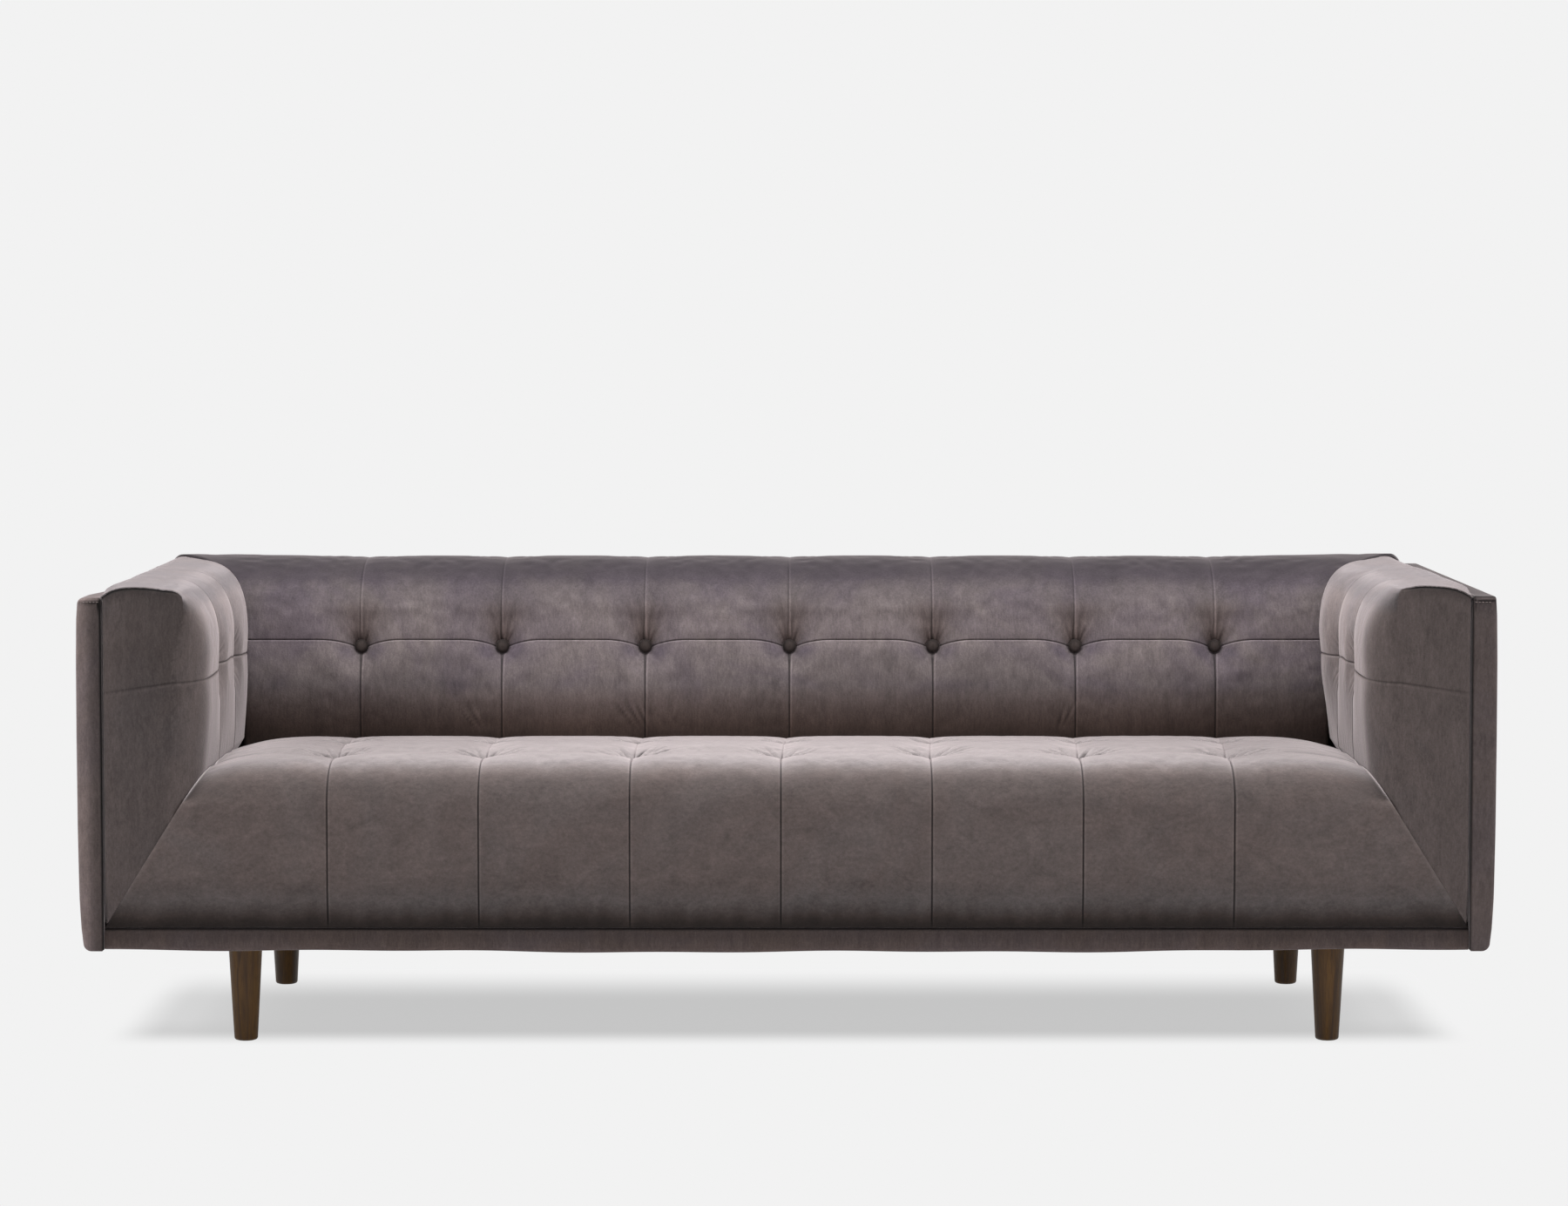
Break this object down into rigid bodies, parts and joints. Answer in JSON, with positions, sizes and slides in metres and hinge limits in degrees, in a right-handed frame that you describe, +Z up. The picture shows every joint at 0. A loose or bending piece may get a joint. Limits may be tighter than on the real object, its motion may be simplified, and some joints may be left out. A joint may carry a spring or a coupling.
{
  "type": "tuxedo sofa",
  "caption": "Bench-seat tuxedo sofa with arms as high as the back, button-tufted padding, flat outer panels and round tapered legs.",
  "frame": {"origin": "on the floor, under the middle of the sofa's width and depth", "axes": "+Z up, +X to the right of someone facing the sofa's front, +Y to the sofa's rear"},
  "size_m": [2.216, 0.88, 0.737],
  "materials": {
    "velvet": "matt velvet with a short pile",
    "leg_wood": "dark brown stain, satin",
    "frame_wood": "sawn, unfinished",
    "steel": "drawn wire",
    "felt": "needled felt",
    "dust_cloth": "thin non-woven cloth"
  },
  "bodies": {
    "root": {"arm_base_rail_left": "frame_wood", "arm_base_rail_right": "frame_wood", "arm_button_left_1": "velvet", "arm_button_left_2": "velvet", "arm_button_right_1": "velvet", "arm_button_right_2": "velvet", "arm_front_post_left": "frame_wood", "arm_front_post_right": "frame_wood", "arm_pad_left": "velvet", "arm_pad_right": "velvet", "arm_top_rail_left": "frame_wood", "arm_top_rail_right": "frame_wood", "back_button_1": "velvet", "back_button_2": "velvet", "back_button_3": "velvet", "back_button_4": "velvet", "back_button_5": "velvet", "back_button_6": "velvet", "back_button_7": "velvet", "back_pad": "velvet", "back_post_centre": "frame_wood", "back_post_left": "frame_wood", "back_post_right": "frame_wood", "back_top_rail": "frame_wood", "base_front_rail": "frame_wood", "base_rear_rail": "frame_wood", "corner_post_left": "frame_wood", "corner_post_right": "frame_wood", "dust_cover": "dust_cloth", "front_band": "velvet", "hanger_bolt_front_left": "steel", "hanger_bolt_front_right": "steel", "hanger_bolt_rear_left": "steel", "hanger_bolt_rear_right": "steel", "leg_block_front_left": "frame_wood", "leg_block_front_right": "frame_wood", "leg_block_rear_left": "frame_wood", "leg_block_rear_right": "frame_wood", "leg_front_left": "leg_wood", "leg_front_right": "leg_wood", "leg_rear_left": "leg_wood", "leg_rear_right": "leg_wood", "outer_back_panel": "velvet", "outer_side_panel_left": "velvet", "outer_side_panel_right": "velvet", "seat_centre_stretcher": "frame_wood", "seat_pad": "velvet", "seat_side_rail_left": "frame_wood", "seat_side_rail_right": "frame_wood", "seat_spring_1": "steel", "seat_spring_10": "steel", "seat_spring_2": "steel", "seat_spring_3": "steel", "seat_spring_4": "steel", "seat_spring_5": "steel", "seat_spring_6": "steel", "seat_spring_7": "steel", "seat_spring_8": "steel", "seat_spring_9": "steel", "spring_felt": "felt"}
  },
  "joints": []
}
